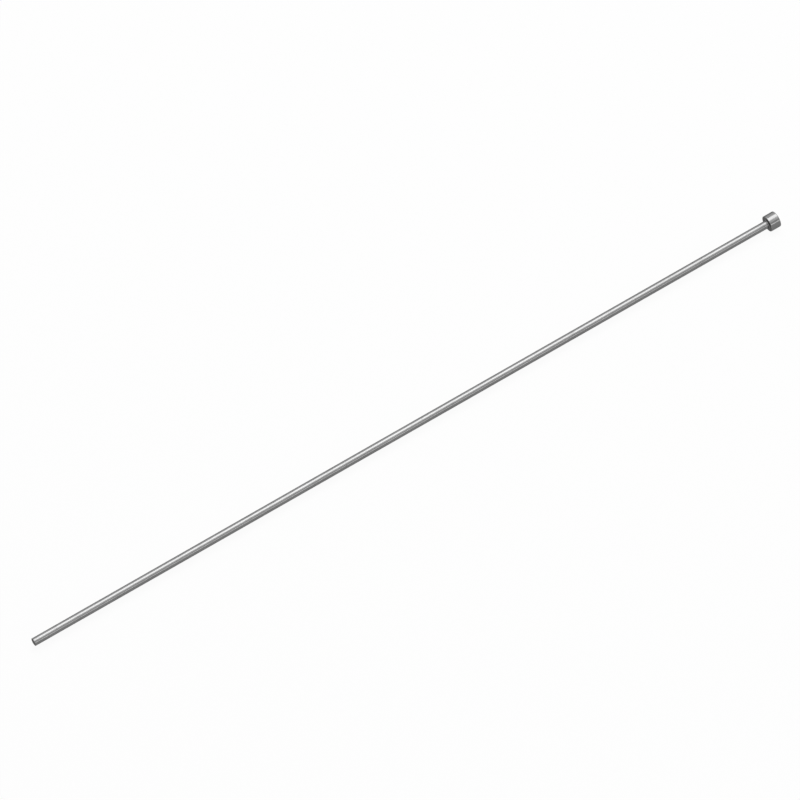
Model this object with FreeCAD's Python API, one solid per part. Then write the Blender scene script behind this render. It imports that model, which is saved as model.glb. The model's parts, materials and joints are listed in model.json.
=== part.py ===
"""Straight ejector pin for an injection mould.

One piece of tool steel: a long ground shank with a square tip, and a flat head that the ejector
plates hold.  The tip pushes the moulding off the core, and the seat face under the head carries
the return stroke.

Frame: millimetres, +Z up.  The pin's axis is the X axis, level, with the tip towards +X.  The
origin is the centre of the head's back face, where the ejector plate holds the pin and from
which its length is measured.
"""
import FreeCAD
import Part
import math
import os

# Driving dimensions
overall_length = 310.0      # from the back of the head to the tip face
shank_diameter = 2.9        # ground, and slides in its bore in the core
head_diameter = 6.0
head_thickness = 4.0        # from the back face to the seat face
neck_fillet_radius = 0.3    # between the seat face and the shank
seat_rim_radius = 0.15      # eases the rim beside the seat face
back_rim_radius = 0.2       # eases the rim beside the back face
largest_rim_share = 0.4     # of the face or wall that a rounded edge runs into

# Sizes that follow from them
shank_radius = shank_diameter / 2
head_radius = head_diameter / 2
seat_width = head_radius - shank_radius
edge_limit = largest_rim_share * min(seat_width, head_thickness)
neck_fillet = min(neck_fillet_radius, edge_limit)
seat_rim = min(seat_rim_radius, edge_limit)
back_rim = min(back_rim_radius, edge_limit)


def on_profile(along, out):
    """A point of the half section: along the axis from the back face, and out from the axis."""
    return FreeCAD.Vector(along, 0, out)


def straight(start, end):
    return Part.LineSegment(on_profile(*start), on_profile(*end)).toShape()


def quarter_round(centre, radius, from_angle, to_angle):
    """A quarter circle of the half section, its angles in degrees from the head-to-tip axis."""
    def at(angle):
        turn = math.radians(angle)
        return on_profile(centre[0] + radius * math.cos(turn), centre[1] + radius * math.sin(turn))

    return Part.Arc(at(from_angle), at((from_angle + to_angle) / 2), at(to_angle)).toShape()


def turned_pin():
    """The half section, walked from the back face to the tip, turned about the X axis."""
    back_rim_centre = (back_rim, head_radius - back_rim)
    seat_rim_centre = (head_thickness - seat_rim, head_radius - seat_rim)
    neck_centre = (head_thickness + neck_fillet, shank_radius + neck_fillet)
    edges = [
        straight((0, 0), (0, back_rim_centre[1])),
        quarter_round(back_rim_centre, back_rim, 180, 90),
        straight((back_rim_centre[0], head_radius), (seat_rim_centre[0], head_radius)),
        quarter_round(seat_rim_centre, seat_rim, 90, 0),
        straight((head_thickness, seat_rim_centre[1]), (head_thickness, neck_centre[1])),
        quarter_round(neck_centre, neck_fillet, 180, 270),
        straight((neck_centre[0], shank_radius), (overall_length, shank_radius)),
        straight((overall_length, shank_radius), (overall_length, 0)),
        straight((overall_length, 0), (0, 0)),
    ]
    half_section = Part.Face(Part.Wire(edges))
    return half_section.revolve(FreeCAD.Vector(0, 0, 0), FreeCAD.Vector(1, 0, 0), 360)


os.makedirs("parts", exist_ok=True)
ejector_pin = turned_pin()
ejector_pin.exportStep("parts/ejector_pin.step")
print("length", overall_length, "volume", round(ejector_pin.Volume, 2), "valid", ejector_pin.isValid())
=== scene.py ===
"""Looks of the straight ejector pin: one turned and ground steel piece on a pale studio floor."""

import json
import math

import bmesh
import bpy
from mathutils import Matrix, Vector


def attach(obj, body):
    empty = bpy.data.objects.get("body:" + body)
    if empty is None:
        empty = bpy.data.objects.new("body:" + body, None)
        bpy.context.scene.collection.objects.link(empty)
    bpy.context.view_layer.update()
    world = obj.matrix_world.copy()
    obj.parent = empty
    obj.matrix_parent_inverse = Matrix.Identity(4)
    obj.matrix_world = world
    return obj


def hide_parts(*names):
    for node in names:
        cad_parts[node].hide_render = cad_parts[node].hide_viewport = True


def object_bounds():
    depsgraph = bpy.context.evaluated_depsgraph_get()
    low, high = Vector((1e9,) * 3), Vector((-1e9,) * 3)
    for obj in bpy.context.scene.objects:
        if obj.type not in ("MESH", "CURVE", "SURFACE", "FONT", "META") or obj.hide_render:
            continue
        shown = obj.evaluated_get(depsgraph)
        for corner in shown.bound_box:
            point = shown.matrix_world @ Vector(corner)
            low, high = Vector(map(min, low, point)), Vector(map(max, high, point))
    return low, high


MM = 0.001
WHITE = (1.0, 1.0, 1.0, 1.0)

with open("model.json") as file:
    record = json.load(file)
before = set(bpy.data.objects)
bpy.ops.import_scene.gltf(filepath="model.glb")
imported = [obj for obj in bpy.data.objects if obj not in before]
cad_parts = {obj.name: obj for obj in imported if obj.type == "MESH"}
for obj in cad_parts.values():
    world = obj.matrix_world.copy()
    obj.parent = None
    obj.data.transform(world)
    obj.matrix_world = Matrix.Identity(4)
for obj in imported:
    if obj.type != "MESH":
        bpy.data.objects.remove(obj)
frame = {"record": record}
cad_low, cad_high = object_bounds()
mounts = {mount["name"]: mount for mount in frame["record"]["mounts"]}

# ---------------------------------------------------------------- the pin's own sizes, in mm

def along(name):
    """Where a mount lies along the pin, from the back of the head."""
    return mounts[name]["pos_m"][0] / MM

def size_of(name, what):
    return mounts[name]["dims"][what]

LENGTH = along("tip_face")
SEAT = along("head_seat")
SHANK_RADIUS = size_of("shank", "r_mm")
HEAD_RADIUS = size_of("head_rim", "r_mm")
NECK_FILLET = LENGTH - SEAT - size_of("shank", "length_mm")
BACK_RIM = along("head_rim") - size_of("head_rim", "length_mm") / 2
SEAT_RIM = SEAT - along("head_rim") - size_of("head_rim", "length_mm") / 2
TIP_EDGE = 0.05             # the hone takes this much off the sharp tip edge
AROUND = 128                # faces round the pin
ROUND_STEPS = 8             # faces across each rounded edge
SHANK_STEP = 4.0            # between rings along the shank
FACE_STEP = 0.3             # between rings on the faces and along the head
ON_AXIS = 1e-6              # a ring nearer to the axis than this is one point

# ---------------------------------------------------------------- the half section

MEASURES = ("lay", "across", "worn")    # what the material reads from the mesh

class Station:
    """One ring of the pin: its place, the way its surface faces, and how it was made."""

    def __init__(self, x, out, facing, lay, across, worn):
        self.x = x
        self.out = out
        self.facing = facing            # (along the axis, away from the axis)
        self.lay = lay                  # mm along the surface from the middle of the back face
        self.across = across            # 1 on a face turned across the axis
        self.worn = worn                # 1 on an edge that handling rubs bright

def half_section():
    """The stations from the middle of the back face to the middle of the tip."""
    stations = []

    def add(x, out, facing, across, worn):
        lay = 0.0
        if stations:
            last = stations[-1]
            lay = last.lay + math.hypot(x - last.x, out - last.out)
        stations.append(Station(x, out, facing, lay, across, worn))

    def run(start, end, step, facing, across):
        count = max(1, round(math.dist(start, end) / step))
        for k in range(count + 1):
            share = k / count
            add(
                start[0] + (end[0] - start[0]) * share,
                start[1] + (end[1] - start[1]) * share,
                facing, across, 0.0,
            )

    def rounded(centre, radius, from_angle, to_angle, worn):
        """Between two runs, so its first and last stations are theirs.  A hollow round turns
        anticlockwise and faces its centre."""
        side = 1 if to_angle < from_angle else -1
        for k in range(1, ROUND_STEPS):
            turn = math.radians(from_angle + (to_angle - from_angle) * k / ROUND_STEPS)
            facing = (side * math.cos(turn), side * math.sin(turn))
            add(
                centre[0] + radius * math.cos(turn), centre[1] + radius * math.sin(turn),
                facing, abs(facing[0]), worn,
            )

    back, front, outward = (-1.0, 0.0), (1.0, 0.0), (0.0, 1.0)
    run((0, 0), (0, HEAD_RADIUS - BACK_RIM), FACE_STEP, back, 1.0)
    rounded((BACK_RIM, HEAD_RADIUS - BACK_RIM), BACK_RIM, 180, 90, 1.0)
    run((BACK_RIM, HEAD_RADIUS), (SEAT - SEAT_RIM, HEAD_RADIUS), FACE_STEP, outward, 0.0)
    rounded((SEAT - SEAT_RIM, HEAD_RADIUS - SEAT_RIM), SEAT_RIM, 90, 0, 1.0)
    run((SEAT, HEAD_RADIUS - SEAT_RIM), (SEAT, SHANK_RADIUS + NECK_FILLET), FACE_STEP, front, 1.0)
    rounded((SEAT + NECK_FILLET, SHANK_RADIUS + NECK_FILLET), NECK_FILLET, 180, 270, 0.0)
    run((SEAT + NECK_FILLET, SHANK_RADIUS), (LENGTH - TIP_EDGE, SHANK_RADIUS), SHANK_STEP, outward, 0.0)
    rounded((LENGTH - TIP_EDGE, SHANK_RADIUS - TIP_EDGE), TIP_EDGE, 90, 0, 1.0)
    run((LENGTH, SHANK_RADIUS - TIP_EDGE), (LENGTH, 0), FACE_STEP, front, 1.0)
    return stations

def turned_mesh(name, stations):
    """The stations turned about the X axis, with their exact normals and their measures."""
    bm = bmesh.new()
    rings = []
    normals = []
    owners = []
    for station in stations:
        ring = []
        for k in range(1 if station.out < ON_AXIS else AROUND):
            turn = 2 * math.pi * k / AROUND
            radial = Vector((0.0, math.cos(turn), math.sin(turn)))
            ring.append(bm.verts.new(Vector((station.x, 0, 0)) * MM + radial * station.out * MM))
            normals.append(Vector((station.facing[0], 0, 0)) + radial * station.facing[1])
            owners.append(station)
        rings.append(ring)
    for near, far in zip(rings, rings[1:]):
        for k in range(AROUND):
            after = (k + 1) % AROUND
            corners = [near[k % len(near)], near[after % len(near)], far[after % len(far)], far[k % len(far)]]
            unlike = list(dict.fromkeys(corners))       # three where a ring is one point
            bm.faces.new(unlike)
    bmesh.ops.recalc_face_normals(bm, faces=bm.faces)
    mesh = bpy.data.meshes.new(name)
    bm.to_mesh(mesh)
    bm.free()
    for measure in MEASURES:
        data = mesh.attributes.new(measure, "FLOAT", "POINT").data
        for k, owner in enumerate(owners):
            data[k].value = getattr(owner, measure)
    mesh.shade_smooth()
    mesh.normals_split_custom_set_from_vertices(normals)
    return mesh

# ---------------------------------------------------------------- material

class Nodes:
    """Adds nodes to a material or world, and links their inputs by name or number."""

    def __init__(self, owner):
        owner.use_nodes = True
        self.tree = owner.node_tree
        self.tree.nodes.clear()

    def add(self, kind, inputs=(), **settings):
        node = self.tree.nodes.new(kind)
        for key, value in settings.items():
            setattr(node, key, value)
        for socket, value in dict(inputs).items():
            if isinstance(value, bpy.types.NodeSocket):
                self.tree.links.new(value, node.inputs[socket])
            else:
                node.inputs[socket].default_value = value
        return node

    def math(self, operation, first, second):
        return self.add("ShaderNodeMath", {0: first, 1: second}, operation=operation).outputs[0]

    def mix(self, share, first, second):
        """first where share is 0, and second where it is 1"""
        return self.add("ShaderNodeMix", {"Factor": share, "A": first, "B": second}).outputs[0]

    def fit(self, value, low, high, to_low, to_high):
        """value stretched from low..high to to_low..to_high, and held inside it"""
        inputs = {"Value": value, "From Min": low, "From Max": high, "To Min": to_low, "To Max": to_high}
        return self.add("ShaderNodeMapRange", inputs, clamp=True).outputs["Result"]

    def noise(self, vector, scale, detail):
        inputs = {"Vector": vector, "Scale": scale, "Detail": detail}
        return self.add("ShaderNodeTexNoise", inputs).outputs["Fac"]

    def attribute(self, name):
        return self.add("ShaderNodeAttribute", attribute_name=name).outputs["Fac"]

STEEL = 0.18                # reflectance of the shank and the head's cylinder
STEEL_ACROSS_CUT_AND_SHADE = 0.12         # of the faces turned across the axis: partly their as-cut finish, partly painted shade, darker to stand in for the dim light these faces would reflect
STEEL_WORN = 0.22           # of the rubbed edges
EDGE_TINT = 0.5             # keeps the steel from whitening where it is seen edge on
ROUGH = 0.24                # of the shank and the head's cylinder
ROUGH_ACROSS = 0.35
ROUGH_WORN = 0.22
LAY_STRETCH = 0.6           # the lay runs round the pin, so it scatters light along it
QUARTER_TURN = 0.25         # turns that stretch from round the pin to along it
FINE_MARKS = (0.05, 0.8)    # the ground lay: mm to a mark along the surface, and its sweep round
TOOL_MARKS = (0.12, 2.5)    # the same for the faces turned across the axis
BANDS = (9.0, 2.0)          # and for the slow changes of tone
HANDLING_SCALE = 260.0      # handling marks to the metre
FINE_RELIEF = 0.0006        # mm
TOOL_RELIEF = 0.002
MIDDLING = (0.3, 0.7)       # where most of a noise lies
DARKENS = (0.55, 0.75)      # where the handling noise darkens the steel
DULLS = (0.5, 0.75)         # and where it roughens it
BAND_TONE = (0.95, 1.05)    # what each kind of mark multiplies the reflectance by
MARK_TONE = (0.94, 1.06)
HANDLED_TONE = (1.0, 0.93)
MARK_ROUGH = (-0.03, 0.03)  # and what it adds to the roughness
HANDLED_ROUGH = (0.0, 0.05)

def tool_steel():
    material = bpy.data.materials.new("tool_steel")
    n = Nodes(material)
    lay, across, worn = (n.attribute(measure) for measure in MEASURES)

    place = n.add("ShaderNodeTexCoord").outputs["Object"]
    parts = n.add("ShaderNodeSeparateXYZ", {0: place})
    spoke = n.add("ShaderNodeCombineXYZ", {"Y": parts.outputs["Y"], "Z": parts.outputs["Z"]}).outputs[0]
    compass = n.add("ShaderNodeVectorMath", {0: spoke}, operation="NORMALIZE").outputs[0]
    bearing = n.add("ShaderNodeSeparateXYZ", {0: compass})

    def round_the_pin(pitch, sweep):
        """Coordinates in which a noise cell is pitch mm long on the lay and sweep wide round it."""
        inputs = {
            "X": n.math("DIVIDE", lay, pitch),
            "Y": n.math("DIVIDE", bearing.outputs["Y"], sweep),
            "Z": n.math("DIVIDE", bearing.outputs["Z"], sweep),
        }
        return n.add("ShaderNodeCombineXYZ", inputs).outputs[0]

    fine_marks = n.noise(round_the_pin(*FINE_MARKS), scale=1.0, detail=3.0)
    tool_marks = n.noise(round_the_pin(*TOOL_MARKS), scale=1.0, detail=2.0)
    bands = n.noise(round_the_pin(*BANDS), scale=1.0, detail=3.0)
    handling = n.noise(place, scale=HANDLING_SCALE, detail=4.0)
    marks = n.mix(across, fine_marks, tool_marks)

    # the faces across the axis get a darker tone: partly their cut finish, partly painted shade
    tone = n.mix(worn, n.mix(across, STEEL, STEEL_ACROSS_CUT_AND_SHADE), STEEL_WORN)
    tone = n.math("MULTIPLY", tone, n.fit(bands, *MIDDLING, *BAND_TONE))
    tone = n.math("MULTIPLY", tone, n.fit(marks, *MIDDLING, *MARK_TONE))
    tone = n.math("MULTIPLY", tone, n.fit(handling, *DARKENS, *HANDLED_TONE))
    colour = n.add("ShaderNodeCombineColor", {0: tone, 1: tone, 2: tone}).outputs[0]

    roughness = n.mix(worn, n.mix(across, ROUGH, ROUGH_ACROSS), ROUGH_WORN)
    roughness = n.math("ADD", roughness, n.fit(marks, *MIDDLING, *MARK_ROUGH))
    roughness = n.math("ADD", roughness, n.fit(handling, *DULLS, *HANDLED_ROUGH))

    height = n.math("MULTIPLY", marks, n.mix(across, FINE_RELIEF, TOOL_RELIEF))
    bump = n.add("ShaderNodeBump", {"Height": height, "Strength": 1.0, "Distance": MM})
    around = n.add("ShaderNodeTangent", direction_type="RADIAL", axis="X")
    shader = n.add("ShaderNodeBsdfPrincipled", {
        "Base Color": colour, "Metallic": 1.0, "Roughness": roughness,
        "Specular Tint": (EDGE_TINT, EDGE_TINT, EDGE_TINT, 1.0),
        "Anisotropic": LAY_STRETCH, "Anisotropic Rotation": QUARTER_TURN,
        "Normal": bump.outputs["Normal"], "Tangent": around.outputs[0],
    })
    n.add("ShaderNodeOutputMaterial", {"Surface": shader.outputs[0]})
    return material

# ---------------------------------------------------------------- the pin

pin = bpy.data.objects.new("ejector_pin_steel", turned_mesh("ejector_pin_steel", half_section()))
bpy.context.scene.collection.objects.link(pin)
pin.data.materials.append(tool_steel())
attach(pin, "root")
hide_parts("ejector_pin")

# ---------------------------------------------------------------- floor and backdrop

FLOOR_TONE = 0.9
PALE_SHARE = 0.94           # of the floor's look that is plain white, the rest takes the shadow
FLOOR_HALF = 30.0           # metres from its middle to its edge
AMBIENT = 0.2               # how bright the studio's walls light the scene

def seen(n):
    """1 for what the camera sees, also in a reflection or through glass"""
    path = n.add("ShaderNodeLightPath")
    seen_or_mirrored = n.math("MAXIMUM", path.outputs["Is Camera Ray"], path.outputs["Is Glossy Ray"])
    return n.math("MAXIMUM", seen_or_mirrored, path.outputs["Is Transmission Ray"])

def floor_material():
    material = bpy.data.materials.new("studio_floor")
    n = Nodes(material)
    lit = n.add("ShaderNodeBsdfDiffuse", {"Color": (FLOOR_TONE, FLOOR_TONE, FLOOR_TONE, 1.0)})
    white = n.add("ShaderNodeEmission", {"Color": WHITE, "Strength": 1.0})
    share = n.math("MULTIPLY", seen(n), PALE_SHARE)
    mixed = n.add("ShaderNodeMixShader", {0: share, 1: lit.outputs[0], 2: white.outputs[0]})
    n.add("ShaderNodeOutputMaterial", {"Surface": mixed.outputs[0]})
    return material

def studio_floor():
    """A level sheet that the head's rim touches."""
    bm = bmesh.new()
    height = cad_low.z
    corners = [(-1, -1), (1, -1), (1, 1), (-1, 1)]
    bm.faces.new([bm.verts.new((FLOOR_HALF * x, FLOOR_HALF * y, height)) for x, y in corners])
    mesh = bpy.data.meshes.new("studio_floor")
    bm.to_mesh(mesh)
    bm.free()
    mesh.materials.append(floor_material())
    floor = bpy.data.objects.new("studio_floor", mesh)
    bpy.context.scene.collection.objects.link(floor)

studio_floor()

world = bpy.data.worlds.new("studio")
bpy.context.scene.world = world
sky = Nodes(world)
sky_level = sky.fit(seen(sky), 0.0, 1.0, AMBIENT, 1.0)
background = sky.add("ShaderNodeBackground", {"Color": WHITE, "Strength": sky_level})
sky.add("ShaderNodeOutputWorld", {"Surface": background.outputs[0]})

# ---------------------------------------------------------------- camera

AZIMUTH = math.radians(146.23)
ELEVATION = math.radians(58.27)
DISTANCE = 3.0
SENSOR = 36.0
VIEW_WIDTH = 0.2775         # metres seen across, at the pin
ABOVE_PIN = 0.00947         # the view's middle lies this far above the pin's
RIGHT_OF_PIN = -0.00368
NEAREST, FURTHEST = 0.1, 100.0

back = Vector((
    math.sin(AZIMUTH) * math.cos(ELEVATION), -math.cos(AZIMUTH) * math.cos(ELEVATION), math.sin(ELEVATION),
))
right = Vector((math.cos(AZIMUTH), math.sin(AZIMUTH), 0.0))
up = back.cross(right)
middle = Vector(((cad_low.x + cad_high.x) / 2, 0.0, 0.0))

camera_data = bpy.data.cameras.new("camera")
camera_data.sensor_width = SENSOR
camera_data.lens = SENSOR * DISTANCE / VIEW_WIDTH
camera_data.clip_start = NEAREST
camera_data.clip_end = FURTHEST
camera = bpy.data.objects.new("camera", camera_data)
bpy.context.scene.collection.objects.link(camera)
camera.location = middle + up * ABOVE_PIN + right * RIGHT_OF_PIN + back * DISTANCE
camera.rotation_mode = "QUATERNION"
camera.rotation_quaternion = (-back).to_track_quat("-Z", "Y")
bpy.context.scene.camera = camera

# ---------------------------------------------------------------- lamps

LAMP_DISTANCE = 2.0
LAMP_LENGTH = 1.2           # along the pin
LAMP_SLANT = math.radians(-14)      # off square to the pin, towards the head's end

def softbox(name, bearing, spread, radiance):
    """A lamp that faces the pin's middle and runs along it.  bearing is its angle round the pin,
    up from level, and spread how wide it looks from the pin, both in degrees.  Its power follows
    from how bright its face is, 1 being white."""
    turn = math.radians(bearing)
    towards = Vector((
        math.sin(LAMP_SLANT), math.cos(LAMP_SLANT) * math.cos(turn), math.cos(LAMP_SLANT) * math.sin(turn),
    ))
    along_pin = (Vector((1.0, 0.0, 0.0)) - towards * towards.x).normalized()
    height = 2 * LAMP_DISTANCE * math.tan(math.radians(spread) / 2)
    data = bpy.data.lights.new(name, "AREA")
    data.shape = "RECTANGLE"
    data.size = LAMP_LENGTH
    data.size_y = height
    data.energy = radiance * math.pi * LAMP_LENGTH * height
    lamp = bpy.data.objects.new(name, data)
    bpy.context.scene.collection.objects.link(lamp)
    lamp.location = middle + towards * LAMP_DISTANCE
    lamp.rotation_mode = "QUATERNION"
    axes = Matrix((along_pin, towards.cross(along_pin), towards)).transposed()
    lamp.rotation_quaternion = axes.to_quaternion()

softbox("key", 108.4, 40.9, 4.7)
softbox("side", 26.6, 11.5, 2.4)
softbox("over", 71.5, 29.7, 1.15)
softbox("far", 154.7, 38.2, 0.72)

# ---------------------------------------------------------------- render settings and finish

bpy.context.scene.view_settings.view_transform = "Standard"
